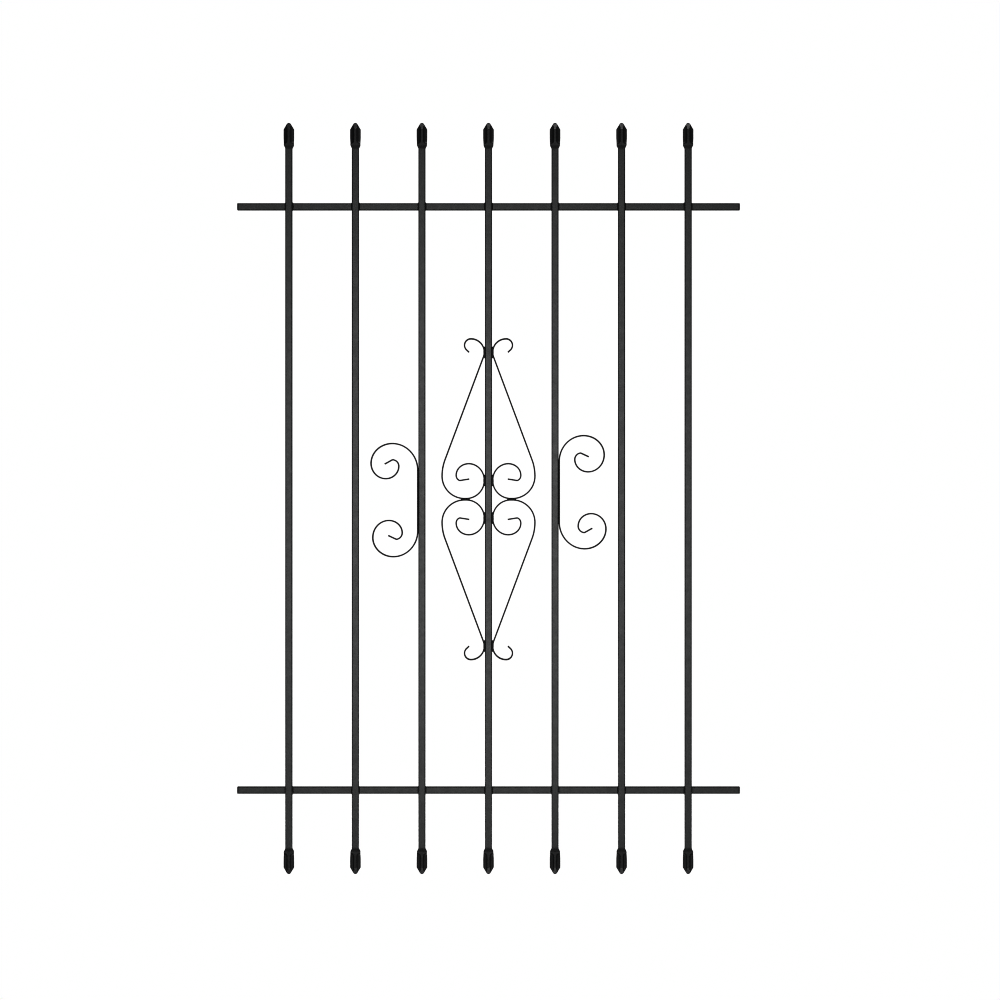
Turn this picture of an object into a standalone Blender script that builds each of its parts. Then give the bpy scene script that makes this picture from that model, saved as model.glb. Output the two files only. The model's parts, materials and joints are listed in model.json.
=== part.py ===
"""A fixed window security bar: seven square steel pickets, each with a spear finial at both
ends, welded across two square steel rails. Four lyre scrolls of flat bar surround the middle
picket, and a C-scroll stands against the picket on each side of it. Nothing on it moves.

Metres. +X is to the right for someone facing the guard from the room or the street, +Y points
into the wall, and +Z is up. The origin is the centre of the top rail's back face.
"""

import math

import bmesh
import bpy
from mathutils import Euler, Matrix, Vector

# Overall size: a 36 by 54 inch guard, whose rails are 36 inches of tube and a plug at each end.
RAIL_TUBE_LENGTH = 0.9144
GUARD_HEIGHT = 1.3716
RAIL_SPACING = 1.0668
PICKET_COUNT = 7
PICKET_PITCH = 0.1215
GAP = 0.0003  # between two pieces that meet

# Half-inch square steel tube, for the rails and the pickets.
TUBE_SIDE = 0.0127
TUBE_WALL = 0.0012
TUBE_CORNER = 0.0020
FIT_CLEARANCE = 0.0005  # round what sits inside a tube

# Cast spear finial: a square spear with a flute down each corner. Lengths run from the tip.
FINIAL_SIDE = 0.01905
FINIAL_LENGTH = 0.0480
FINIAL_SHOULDER = 0.0122
FINIAL_TAPER_START = 0.0280
FINIAL_NECK_START = 0.0415
FINIAL_NECK_START_HALF = 0.0088
FINIAL_NECK_END = 0.0466
FINIAL_TIP_HALF = 0.0026
FINIAL_TIP_DROP = 0.0008
FLUTE_RADIUS = 0.0074
FLUTE_END = 0.0380
FLUTE_RUN_OUT = 0.0050
FLUTE_SEGMENTS = 24
SPIGOT_LENGTH = 0.0140
SPIGOT_CHAMFER = 0.0010

# Plastic plug in each end of a rail.
PLUG_FLANGE = 0.0020
PLUG_EDGE = 0.0006
PLUG_SHANK = 0.0120
PLUG_RIB = 0.0010
PLUG_RIB_STEP = 0.0040
PLUG_RIB_HEIGHT = 0.0003
PLUG_POCKET_SIDE = 0.0068
PLUG_FLOOR = 0.0010
PLUG_OVERLAP = 0.0004

# Flat bar of the scrolls, bent on the flat.
STRIP_WIDTH = 0.0120
STRIP_THICKNESS = 0.0025
NIP_RADIUS = 0.0040  # the tight bend before the straight hook in each eye
NIP_TURN = math.radians(38)
BEND_STEP = math.radians(9)

# Lyre scroll, from the point where it meets its mirror image outwards and up to the small
# curl, and from the same point inwards to the big curl.
LYRE_MEETING_X = 0.0423
LYRE_FLAT = 0.0030
LYRE_BELLY_RADIUS = 0.0410
LYRE_SHOULDER_RADIUS = 0.0850
LYRE_SLANT = math.radians(20.5)
LYRE_TIP_RADIUS = 0.0244
LYRE_TIP_CURL_RADIUS = 0.0117
LYRE_TIP_CURL_TURN = math.radians(137)
LYRE_TIP_HOOK = 0.0062
LYRE_VOLUTE_END_RADIUS = 0.0178
LYRE_VOLUTE_TURN = math.radians(185)
LYRE_EYE_RADIUS = 0.0097
LYRE_EYE_TURN = math.radians(56)
LYRE_EYE_HOOK = 0.0165

# C-scroll: a straight back with a spiral at each end, one a little rounder than the other.
# Each end is the first half turn's radii, the second half turn's, and its eye's turn.
C_BACK_LENGTH = 0.1104
C_EYE_RADIUS = 0.0119
C_EYE_HOOK = 0.0151
C_TALL_END = ((0.0528, 0.0325), (0.0295, 0.0212), math.radians(81))
C_ROUND_END = ((0.0506, 0.0315), (0.0336, 0.0201), math.radians(77))

# How far above the guard's middle the scrolls are set, which differs a little for each.
LYRE_RISE = -0.0014
C_LEFT_RISE = -0.0040
C_RIGHT_RISE = 0.0124

# Welds.
CROSSING_WELD_RADIUS = 0.0021
CROSSING_WELD_CORNER = 0.0010
BEAD_WIDTH = 0.0031
BEAD_HEIGHT = 0.0013
LYRE_BEAD_LENGTH = 0.0200
MEETING_BEAD_LENGTH = 0.0170
MEETING_BEAD_WIDTH = 0.0042
C_BEAD_LENGTH = 0.0300
BEAD_SEGMENTS = 10
BEAD_RINGS = 8

# Places worked out from the sizes above.
TUBE_HALF = TUBE_SIDE / 2
BORE_HALF = TUBE_HALF - TUBE_WALL
MIDDLE_Z = -RAIL_SPACING / 2
LYRE_Z = MIDDLE_Z + LYRE_RISE
RAIL_Y = -TUBE_HALF
PICKET_Y = -TUBE_SIDE - GAP - TUBE_HALF
PICKET_LENGTH = GUARD_HEIGHT - 2 * (FINIAL_LENGTH + GAP)
STRIP_FRONT_Y = PICKET_Y - STRIP_WIDTH / 2
STRIP_BACK_Y = PICKET_Y + STRIP_WIDTH / 2
STRIP_TOUCH_X = TUBE_HALF + GAP + STRIP_THICKNESS / 2  # from a picket's centre, lying against it
LYRE_START_Z = (STRIP_THICKNESS + GAP) / 2
LYRE_VOLUTE_RADIUS = LYRE_MEETING_X - LYRE_FLAT / 2 - STRIP_TOUCH_X
FRONT_VIEW = math.pi / 2  # turns an outline drawn in X and Y to stand in X and Z


def clear_scene():
    for obj in list(bpy.data.objects):
        bpy.data.objects.remove(obj, do_unlink=True)
    for collection in list(bpy.data.collections):
        bpy.data.collections.remove(collection)


def new_collection(name):
    collection = bpy.data.collections.new(name)
    bpy.context.scene.collection.children.link(collection)
    return collection


def new_material(name, colour, roughness, metallic):
    material = bpy.data.materials.new(name)
    material.use_nodes = True
    shader = material.node_tree.nodes["Principled BSDF"]
    shader.inputs["Base Color"].default_value = (*colour, 1)
    shader.inputs["Roughness"].default_value = roughness
    shader.inputs["Metallic"].default_value = metallic
    return material


def picket_x(index):
    """The centre of picket number index, counted from 1 at the left."""
    return (index - (PICKET_COUNT + 1) / 2) * PICKET_PITCH


# Building blocks


def rounded_square(half, radius, steps):
    """The outline of a square with rounded corners, anticlockwise."""
    points = []
    centre = half - radius
    for corner in range(4):
        turn = corner * math.pi / 2
        hub = Matrix.Rotation(turn, 2) @ Vector((centre, centre))
        for step in range(steps + 1):
            angle = turn + step / steps * math.pi / 2
            points.append(hub + radius * Vector((math.cos(angle), math.sin(angle))))
    return points


def outline_curve(name, outlines, thickness, material):
    """A filled 2D curve: the first outline's area less the others', extruded both ways in Z."""
    curve = bpy.data.curves.new(name, "CURVE")
    curve.dimensions = "2D"
    curve.fill_mode = "BOTH"
    curve.extrude = thickness / 2
    for outline in outlines:
        spline = curve.splines.new("POLY")
        spline.points.add(len(outline) - 1)
        spline.use_cyclic_u = True
        for point, place in zip(spline.points, outline):
            point.co = (place.x, place.y, 0, 1)
    curve.materials.append(material)
    return curve


def box_mesh(name, size, centre):
    mesh = bpy.data.meshes.new(name)
    shape = bmesh.new()
    bmesh.ops.create_cube(shape, size=1)
    bmesh.ops.scale(shape, vec=size, verts=shape.verts)
    bmesh.ops.translate(shape, vec=centre, verts=shape.verts)
    shape.to_mesh(mesh)
    shape.free()
    return mesh


def add_cutter(name, mesh):
    cutter = bpy.data.objects.new(name, mesh)
    cutter.hide_render = True
    cutter.display_type = "WIRE"
    bpy.data.collections["cutters"].objects.link(cutter)
    return cutter


def add_boolean(obj, operation, other, solver="EXACT"):
    boolean = obj.modifiers.new(f"{operation.lower()} {other.name}", "BOOLEAN")
    boolean.operation = operation
    boolean.solver = solver
    boolean.object = other


def finished_mesh(obj, material, sharp_angle):
    """The object's mesh with its modifiers applied, welded and shaded. The object is removed."""
    bpy.context.view_layer.update()
    graph = bpy.context.evaluated_depsgraph_get()
    mesh = bpy.data.meshes.new_from_object(obj.evaluated_get(graph))
    mesh.name = obj.name
    bpy.data.objects.remove(obj, do_unlink=True)
    shape = bmesh.new()
    shape.from_mesh(mesh)
    bmesh.ops.remove_doubles(shape, verts=shape.verts, dist=1e-6)
    bmesh.ops.recalc_face_normals(shape, faces=shape.faces)
    shape.to_mesh(mesh)
    shape.free()
    mesh.materials.clear()
    mesh.materials.append(material)
    mesh.shade_smooth()
    mesh.set_sharp_from_angle(angle=sharp_angle)
    return mesh


# Tubes


def tube_curve(name, length, material):
    outer = rounded_square(TUBE_HALF, TUBE_CORNER, 3)
    bore = rounded_square(BORE_HALF, TUBE_CORNER - TUBE_WALL, 1)
    return outline_curve(name, [outer, bore], length, material)


def add_rails(place, material):
    tube = tube_curve("rail_tube", RAIL_TUBE_LENGTH, material)
    along_x = Euler((0, math.pi / 2, 0))
    place("top_rail", tube, (0, RAIL_Y, 0), along_x)
    place("bottom_rail", tube, (0, RAIL_Y, -RAIL_SPACING), along_x)


def add_pickets(place, material):
    tube = tube_curve("picket_tube", PICKET_LENGTH, material)
    for index in range(1, PICKET_COUNT + 1):
        place(f"picket_{index}", tube, (picket_x(index), PICKET_Y, MIDDLE_Z), Euler())


# Rail plugs


def plug_mesh(material):
    """A plug with its flange's inner face at X 0 and its shank running towards +X."""
    flange_size = (PLUG_FLANGE, TUBE_SIDE, TUBE_SIDE)
    plug = bpy.data.objects.new("rail_plug", box_mesh("rail_plug", flange_size, (-PLUG_FLANGE / 2, 0, 0)))
    bpy.data.collections["cutters"].objects.link(plug)
    bevel = plug.modifiers.new("eased edges", "BEVEL")
    bevel.width = PLUG_EDGE
    bevel.segments = 2
    rib_side = 2 * (BORE_HALF - FIT_CLEARANCE)
    core_side = rib_side - 2 * PLUG_RIB_HEIGHT
    core_size = (PLUG_SHANK + PLUG_OVERLAP, core_side, core_side)
    core = box_mesh("plug_core", core_size, ((PLUG_SHANK - PLUG_OVERLAP) / 2, 0, 0))
    add_boolean(plug, "UNION", add_cutter("plug_core", core))
    for rib in (1, 2):
        rib_box = box_mesh(f"plug_rib_{rib}", (PLUG_RIB, rib_side, rib_side), (rib * PLUG_RIB_STEP, 0, 0))
        add_boolean(plug, "UNION", add_cutter(f"plug_rib_{rib}", rib_box))
    pocket_size = (PLUG_SHANK, PLUG_POCKET_SIDE, PLUG_POCKET_SIDE)
    pocket = box_mesh("plug_pocket", pocket_size, (PLUG_SHANK / 2 + PLUG_FLOOR, 0, 0))
    add_boolean(plug, "DIFFERENCE", add_cutter("plug_pocket", pocket))
    return finished_mesh(plug, material, math.radians(40))


def add_plugs(place, material):
    mesh = plug_mesh(material)
    reach = RAIL_TUBE_LENGTH / 2 + GAP
    for level, z in (("top", 0), ("bottom", -RAIL_SPACING)):
        place(f"rail_plug_{level}_left", mesh, (-reach, RAIL_Y, z), Euler())
        place(f"rail_plug_{level}_right", mesh, (reach, RAIL_Y, z), Euler((0, 0, math.pi)))


# Finials


def turned_square(name, profile):
    """A profile of (half side, height) points made into a square stack by a four-step screw."""
    mesh = bpy.data.meshes.new(name)
    shape = bmesh.new()
    corner = [shape.verts.new((half * math.sqrt(2), 0, z)) for half, z in profile]
    for upper, lower in zip(corner, corner[1:]):
        shape.edges.new((upper, lower))
    bmesh.ops.rotate(shape, verts=shape.verts, matrix=Matrix.Rotation(math.pi / 4, 3, "Z"))
    shape.to_mesh(mesh)
    shape.free()
    obj = bpy.data.objects.new(name, mesh)
    bpy.data.collections["cutters"].objects.link(obj)
    screw = obj.modifiers.new("four sides", "SCREW")
    screw.steps = 4
    screw.render_steps = 4
    screw.use_merge_vertices = True
    screw.merge_threshold = 0.00001
    return obj


def flute_mesh():
    """A cutter for one corner: a cylinder past the tip, drawn in to a cone where the flute ends."""
    top = 0.002
    straight_end = -(FLUTE_END - FLUTE_RUN_OUT)
    mesh = bpy.data.meshes.new("flute")
    shape = bmesh.new()
    cylinder = Matrix.Translation((0, 0, (top + straight_end) / 2))
    run_out = Matrix.Translation((0, 0, straight_end - FLUTE_RUN_OUT / 2))
    for radii, depth, where in (
        ((FLUTE_RADIUS, FLUTE_RADIUS), top - straight_end, cylinder),
        ((FLUTE_RADIUS / 3, FLUTE_RADIUS), FLUTE_RUN_OUT, run_out),
    ):
        bmesh.ops.create_cone(
            shape,
            cap_ends=True,
            segments=FLUTE_SEGMENTS,
            radius1=radii[0],
            radius2=radii[1],
            depth=depth,
            matrix=where,
        )
    bmesh.ops.remove_doubles(shape, verts=shape.verts, dist=1e-6)
    inner_caps = [face for face in shape.faces if abs(face.calc_center_median().z - straight_end) < 1e-6]
    bmesh.ops.delete(shape, geom=inner_caps, context="FACES")
    bmesh.ops.recalc_face_normals(shape, faces=shape.faces)
    shape.to_mesh(mesh)
    shape.free()
    return mesh


def finial_mesh(material):
    """A finial standing on its spigot, with its tip at the origin."""
    half = FINIAL_SIDE / 2
    spigot = BORE_HALF - FIT_CLEARANCE
    foot = FINIAL_LENGTH + SPIGOT_LENGTH
    profile = (
        (0, 0),
        (FINIAL_TIP_HALF, -FINIAL_TIP_DROP),
        (half, -FINIAL_SHOULDER),
        (half, -FINIAL_TAPER_START),
        (FINIAL_NECK_START_HALF, -FINIAL_NECK_START),
        (TUBE_HALF, -FINIAL_NECK_END),
        (TUBE_HALF, -FINIAL_LENGTH),
        (spigot, -FINIAL_LENGTH),
        (spigot, -foot + SPIGOT_CHAMFER),
        (spigot - SPIGOT_CHAMFER, -foot),
        (0, -foot),
    )
    finial = turned_square("finial", profile)
    mesh = flute_mesh()
    for number, (side_x, side_y) in enumerate(((1, 1), (-1, 1), (-1, -1), (1, -1)), 1):
        flute = add_cutter(f"flute_{number}", mesh)
        flute.location = (side_x * half, side_y * half, 0)
        add_boolean(finial, "DIFFERENCE", flute)
    return finished_mesh(finial, material, math.radians(30))


def add_finials(place, material):
    mesh = finial_mesh(material)
    top = MIDDLE_Z + GUARD_HEIGHT / 2
    bottom = MIDDLE_Z - GUARD_HEIGHT / 2
    for index in range(1, PICKET_COUNT + 1):
        x = picket_x(index)
        place(f"finial_top_{index}", mesh, (x, PICKET_Y, top), Euler())
        place(f"finial_bottom_{index}", mesh, (x, PICKET_Y, bottom), Euler((math.pi, 0, 0)))


# Scrolls


def straight(length):
    return ("straight", length, 0, 0)


def bend(first_radius, last_radius, turn):
    """A bend whose radius changes evenly along it. A positive turn is to the left."""
    return ("bend", first_radius, last_radius, turn)


def bent_line(start, heading, runs):
    """A line bent run by run, as (point, heading) pairs."""
    point = Vector(start)
    line = [(point.copy(), heading)]
    for kind, first, last, turn in runs:
        if kind == "straight":
            point = point + first * Vector((math.cos(heading), math.sin(heading)))
            line.append((point.copy(), heading))
            continue
        steps = max(2, round(abs(turn) / BEND_STEP))
        step_turn = turn / steps
        for step in range(steps):
            radius = first + (last - first) * (step + 0.5) / steps
            chord = 2 * radius * math.sin(abs(step_turn) / 2)
            aim = heading + step_turn / 2
            point = point + chord * Vector((math.cos(aim), math.sin(aim)))
            heading += step_turn
            line.append((point.copy(), heading))
    return line


def strip_outline(line):
    """The outline of a strip on edge along a line of (point, heading) pairs."""
    left, right = [], []
    for point, heading in line:
        across = Vector((-math.sin(heading), math.cos(heading))) * STRIP_THICKNESS / 2
        left.append(point + across)
        right.append(point - across)
    return right + left[::-1]


def joined_back_to_back(first, second):
    """Two lines that leave one point in opposite directions, made one."""
    turned = [(point, heading + math.pi) for point, heading in reversed(first)]
    return turned + second[1:]


def lyre_slant_length():
    """The straight part's length that brings the tip's bend against the picket's side."""
    widest = LYRE_MEETING_X + LYRE_FLAT / 2 + LYRE_BELLY_RADIUS
    bends = (LYRE_SHOULDER_RADIUS + LYRE_TIP_RADIUS) * (1 - math.cos(LYRE_SLANT))
    return (widest - STRIP_TOUCH_X - bends) / math.sin(LYRE_SLANT)


def lyre_line():
    """The upper right lyre scroll, drawn with Y up from the point that all four share."""
    quarter = math.pi / 2
    start = (LYRE_MEETING_X, LYRE_START_Z)
    outwards = [
        straight(LYRE_FLAT / 2),
        bend(LYRE_BELLY_RADIUS, LYRE_BELLY_RADIUS, quarter),
        bend(LYRE_SHOULDER_RADIUS, LYRE_SHOULDER_RADIUS, LYRE_SLANT),
        straight(lyre_slant_length()),
        bend(LYRE_TIP_RADIUS, LYRE_TIP_RADIUS, -quarter - LYRE_SLANT),
        bend(LYRE_TIP_CURL_RADIUS, LYRE_TIP_CURL_RADIUS, -LYRE_TIP_CURL_TURN),
        straight(LYRE_TIP_HOOK),
    ]
    inwards = [
        straight(LYRE_FLAT / 2),
        bend(LYRE_VOLUTE_RADIUS, LYRE_VOLUTE_RADIUS, -quarter),
        bend(LYRE_VOLUTE_RADIUS, LYRE_VOLUTE_END_RADIUS, -LYRE_VOLUTE_TURN),
        bend(LYRE_EYE_RADIUS, LYRE_EYE_RADIUS, -LYRE_EYE_TURN),
        bend(NIP_RADIUS, NIP_RADIUS, -NIP_TURN),
        straight(LYRE_EYE_HOOK),
    ]
    return joined_back_to_back(bent_line(start, math.pi, inwards), bent_line(start, 0, outwards))


def c_spiral(way, end):
    """Half a C-scroll from the middle of its back. Way is 1 for a right turn, -1 for a left."""
    outer_radii, inner_radii, eye_turn = end
    runs = [
        straight(C_BACK_LENGTH / 2),
        bend(*outer_radii, -way * math.pi),
        bend(*inner_radii, -way * math.pi),
        bend(C_EYE_RADIUS, C_EYE_RADIUS, -way * eye_turn),
        bend(NIP_RADIUS, NIP_RADIUS, -way * NIP_TURN),
        straight(C_EYE_HOOK),
    ]
    return bent_line((0, 0), way * math.pi / 2, runs)


def c_line():
    """The right C-scroll, drawn with the middle of its back at the origin and Y up."""
    return joined_back_to_back(c_spiral(-1, C_TALL_END), c_spiral(1, C_ROUND_END))


def add_lyre_scrolls(place, material):
    strip = outline_curve("lyre_strip", [strip_outline(lyre_line())], STRIP_WIDTH, material)
    turns = {
        "upper_right": Euler((FRONT_VIEW, 0, 0)),
        "upper_left": Euler((FRONT_VIEW, 0, math.pi)),
        "lower_right": Euler((-FRONT_VIEW, 0, 0)),
        "lower_left": Euler((-FRONT_VIEW, 0, math.pi)),
    }
    for corner, turn in turns.items():
        place(f"lyre_scroll_{corner}", strip, (0, PICKET_Y, LYRE_Z), turn)


def c_scroll_places():
    """(side, x and z of the middle of its back, half turn in the guard's plane) for both."""
    middle = (PICKET_COUNT + 1) // 2
    reach = picket_x(middle + 1) + STRIP_TOUCH_X
    right = ("right", reach, MIDDLE_Z + C_RIGHT_RISE, 0)
    return (("left", -reach, MIDDLE_Z + C_LEFT_RISE, math.pi), right)


def add_c_scrolls(place, material):
    strip = outline_curve("c_strip", [strip_outline(c_line())], STRIP_WIDTH, material)
    for side, x, z, turn in c_scroll_places():
        place(f"c_scroll_{side}", strip, (x, PICKET_Y, z), Euler((FRONT_VIEW, turn, 0)))


# Welds


def crossing_weld_mesh(material):
    """A bead round the square where a picket crosses a rail, centred on that square."""
    half = TUBE_HALF
    inset = half - CROSSING_WELD_CORNER
    path = [(half, -inset), (half, inset), (inset, half), (-inset, half)]
    path += [(-x, -y) for x, y in path]
    wire = bpy.data.curves.new("crossing_wire", "CURVE")
    wire.dimensions = "3D"
    wire.bevel_depth = CROSSING_WELD_RADIUS
    wire.bevel_resolution = 2
    spline = wire.splines.new("POLY")
    spline.points.add(len(path) - 1)
    spline.use_cyclic_u = True
    for point, (x, z) in zip(spline.points, path):
        point.co = (x, 0, z, 1)
    ring = bpy.data.objects.new("crossing_wire", wire)
    bpy.data.collections["cutters"].objects.link(ring)
    bead = bpy.data.objects.new("crossing_bead", finished_mesh(ring, material, math.radians(50)))
    bpy.data.collections["cutters"].objects.link(bead)
    clear = TUBE_SIDE + 2 * GAP
    length = 3 * TUBE_SIDE
    picket = box_mesh("picket_clearance", (clear, clear, length), (0, -TUBE_HALF - GAP / 2, 0))
    rail = box_mesh("rail_clearance", (length, clear, clear), (0, TUBE_HALF + GAP / 2, 0))
    # The exact solver leaves a closed ring uncut.
    add_boolean(bead, "DIFFERENCE", add_cutter("picket_clearance", picket), "MANIFOLD")
    add_boolean(bead, "DIFFERENCE", add_cutter("rail_clearance", rail), "MANIFOLD")
    return finished_mesh(bead, material, math.radians(50))


def add_crossing_welds(place, material):
    mesh = crossing_weld_mesh(material)
    contact_y = -TUBE_SIDE - GAP / 2
    for index in range(1, PICKET_COUNT + 1):
        place(f"crossing_weld_top_{index}", mesh, (picket_x(index), contact_y, 0), Euler())
        place(f"crossing_weld_bottom_{index}", mesh, (picket_x(index), contact_y, -RAIL_SPACING), Euler())


def bead_mesh(name, width, length, material):
    """A flat-backed bead, long in Z, with its back on Y 0 and its crown towards -Y."""
    mesh = bpy.data.meshes.new(name)
    shape = bmesh.new()
    bmesh.ops.create_uvsphere(shape, u_segments=BEAD_SEGMENTS, v_segments=BEAD_RINGS, radius=1)
    bmesh.ops.scale(shape, vec=(width / 2, BEAD_HEIGHT, length / 2), verts=shape.verts)
    whole = shape.verts[:] + shape.edges[:] + shape.faces[:]
    cut = bmesh.ops.bisect_plane(shape, geom=whole, plane_co=(0, 0, 0), plane_no=(0, 1, 0), clear_outer=True)
    rim = [edge for edge in cut["geom_cut"] if isinstance(edge, bmesh.types.BMEdge)]
    bmesh.ops.edgeloop_fill(shape, edges=rim)
    bmesh.ops.recalc_face_normals(shape, faces=shape.faces)
    shape.to_mesh(mesh)
    shape.free()
    mesh.materials.append(material)
    mesh.shade_smooth()
    mesh.set_sharp_from_angle(angle=math.radians(50))
    return mesh


def lyre_touch_heights():
    """How far above its start a lyre scroll's small end and big curl touch the picket."""
    volute = LYRE_START_Z + LYRE_VOLUTE_RADIUS
    bends = (LYRE_SHOULDER_RADIUS + LYRE_TIP_RADIUS) * math.sin(LYRE_SLANT)
    tip = LYRE_START_Z + LYRE_BELLY_RADIUS + bends + lyre_slant_length() * math.cos(LYRE_SLANT)
    return {"tip": tip, "volute": volute}


def add_lyre_welds(place, material):
    bead = bead_mesh("lyre_bead", BEAD_WIDTH, LYRE_BEAD_LENGTH, material)
    meeting_bead = bead_mesh("meeting_bead", MEETING_BEAD_WIDTH, MEETING_BEAD_LENGTH, material)
    y = STRIP_FRONT_Y - GAP
    for side, sign_x in (("left", -1), ("right", 1)):
        for level, sign_z in (("upper", 1), ("lower", -1)):
            for end, height in lyre_touch_heights().items():
                spot = (sign_x * STRIP_TOUCH_X, y, LYRE_Z + sign_z * height)
                place(f"lyre_{end}_weld_{level}_{side}", bead, spot, Euler())
        spot = (sign_x * LYRE_MEETING_X, y, LYRE_Z)
        place(f"lyre_meeting_weld_{side}", meeting_bead, spot, Euler((0, math.pi / 2, 0)))


def add_c_welds(place, material):
    bead = bead_mesh("c_bead", BEAD_WIDTH, C_BEAD_LENGTH, material)
    for side, x, z, _ in c_scroll_places():
        place(f"c_scroll_weld_{side}", bead, (x, STRIP_BACK_Y + GAP, z), Euler((0, 0, math.pi)))


def main():
    clear_scene()
    guard = new_collection("window_security_bar")
    new_collection("cutters")
    origin = bpy.data.objects.new("guard_origin", None)
    guard.objects.link(origin)

    def place(name, data, location, rotation):
        obj = bpy.data.objects.new(name, data)
        guard.objects.link(obj)
        obj.parent = origin
        obj.location = location
        obj.rotation_euler = rotation

    add_rails(place, new_material("rail_paint", (0.034, 0.036, 0.035), 0.42, 0.0))
    add_plugs(place, new_material("plug_plastic", (0.016, 0.016, 0.017), 0.55, 0.0))
    add_pickets(place, new_material("picket_paint", (0.036, 0.038, 0.037), 0.42, 0.0))
    add_finials(place, new_material("finial_paint", (0.022, 0.023, 0.023), 0.38, 0.0))
    scroll_paint = new_material("scroll_paint", (0.028, 0.030, 0.029), 0.42, 0.0)
    add_lyre_scrolls(place, scroll_paint)
    add_c_scrolls(place, scroll_paint)
    weld_paint = new_material("weld_paint", (0.024, 0.025, 0.025), 0.48, 0.0)
    add_crossing_welds(place, weld_paint)
    add_lyre_welds(place, weld_paint)
    add_c_welds(place, weld_paint)


main()
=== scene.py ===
"""The looks of a fixed window security bar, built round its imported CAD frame.

Every visible piece is a finer mesh that stands for one CAD node: hollow tubes with rounded
corners, fluted cast finials, bent flat-bar scrolls and rippled welds, under a satin black powder
coat, and ribbed end plugs of matt black plastic. Metres, +X right, +Y into the wall, +Z up.
"""

import json
import math

import bmesh
import bpy
import numpy as np
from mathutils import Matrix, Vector, noise

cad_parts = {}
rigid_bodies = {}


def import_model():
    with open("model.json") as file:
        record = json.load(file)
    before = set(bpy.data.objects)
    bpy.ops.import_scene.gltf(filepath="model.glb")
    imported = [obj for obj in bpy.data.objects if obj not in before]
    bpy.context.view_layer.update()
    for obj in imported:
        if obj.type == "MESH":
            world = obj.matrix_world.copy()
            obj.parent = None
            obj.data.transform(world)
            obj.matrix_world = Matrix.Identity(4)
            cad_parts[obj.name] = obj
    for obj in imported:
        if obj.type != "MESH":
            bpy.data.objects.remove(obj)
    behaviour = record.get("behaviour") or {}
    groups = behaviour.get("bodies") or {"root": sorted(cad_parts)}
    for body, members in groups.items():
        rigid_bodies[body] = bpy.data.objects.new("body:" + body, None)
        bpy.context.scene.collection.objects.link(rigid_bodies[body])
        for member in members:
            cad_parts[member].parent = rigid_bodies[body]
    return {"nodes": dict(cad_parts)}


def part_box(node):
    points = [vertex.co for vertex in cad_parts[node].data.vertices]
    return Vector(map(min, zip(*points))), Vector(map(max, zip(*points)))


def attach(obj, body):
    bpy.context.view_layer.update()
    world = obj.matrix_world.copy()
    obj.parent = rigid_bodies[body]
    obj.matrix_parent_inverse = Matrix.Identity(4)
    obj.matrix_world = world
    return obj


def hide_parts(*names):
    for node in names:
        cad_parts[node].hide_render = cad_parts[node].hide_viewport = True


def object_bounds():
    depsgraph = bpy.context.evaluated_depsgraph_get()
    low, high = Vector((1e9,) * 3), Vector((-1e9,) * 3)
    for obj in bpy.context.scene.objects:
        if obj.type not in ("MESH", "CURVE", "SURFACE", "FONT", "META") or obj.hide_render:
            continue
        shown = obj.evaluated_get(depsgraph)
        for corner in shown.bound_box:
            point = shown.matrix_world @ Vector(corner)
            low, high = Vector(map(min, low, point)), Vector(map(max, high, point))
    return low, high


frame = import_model()
cad_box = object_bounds()

# Sizes that the CAD model has too, and that its boxes don't give.
GAP = 0.0003  # between two CAD solids that touch
TUBE_WALL = 0.0012
TUBE_CORNER = 0.0020

# A finial's places are depths below its tip.
FINIAL_HALF = 0.009525
FINIAL_SHOULDER = 0.0122
FINIAL_TAPER_START = 0.0280
FINIAL_NECK_START = 0.0415
FINIAL_NECK_START_HALF = 0.0088
FINIAL_NECK_END = 0.0466
FINIAL_LENGTH = 0.0480
FLUTE_RADIUS = 0.0074
FLUTE_STRAIGHT_END = 0.0330
SPIGOT_HALF = 0.00465
SPIGOT_CHAMFER = 0.0010

PLUG_SHANK_HALF = 0.00435
PLUG_RIBS = 2
PLUG_RIB_HALF = 0.00465
PLUG_RIB = 0.0010
PLUG_RIB_STEP = 0.0040
PLUG_POCKET_HALF = 0.0034
PLUG_FLOOR = 0.0010

STRIP_THICKNESS = 0.0025
NIP_RADIUS = 0.0040  # the tight bend before the straight hook in each eye
NIP_TURN = math.radians(38)

LYRE_MEETING_X = 0.0423
LYRE_RISE = -0.0014
LYRE_FLAT = 0.0030
LYRE_BELLY_RADIUS = 0.0410
LYRE_SHOULDER_RADIUS = 0.0850
LYRE_SLANT = math.radians(20.5)
LYRE_TIP_RADIUS = 0.0244
LYRE_TIP_CURL_RADIUS = 0.0117
LYRE_TIP_CURL_TURN = math.radians(137)
LYRE_TIP_HOOK = 0.0062
LYRE_VOLUTE_END_RADIUS = 0.0178
LYRE_VOLUTE_TURN = math.radians(185)
LYRE_EYE_RADIUS = 0.0097
LYRE_EYE_TURN = math.radians(56)
LYRE_EYE_HOOK = 0.0165

C_BACK_LENGTH = 0.1104
C_EYE_RADIUS = 0.0119
C_EYE_HOOK = 0.0151
# Each end's outer radii, inner radii and the turn of its eye.
C_TALL_END = ((0.0528, 0.0325), (0.0295, 0.0212), math.radians(81))
C_ROUND_END = ((0.0506, 0.0315), (0.0336, 0.0201), math.radians(77))
C_LEFT_RISE = -0.0040
C_RIGHT_RISE = 0.0124

# Fine detail that only the looks have.
HAIRLINE = 0.00005  # between two pieces that touch
TUBE_END_EASE = 0.0002
STRIP_CORNER = 0.0006

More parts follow.
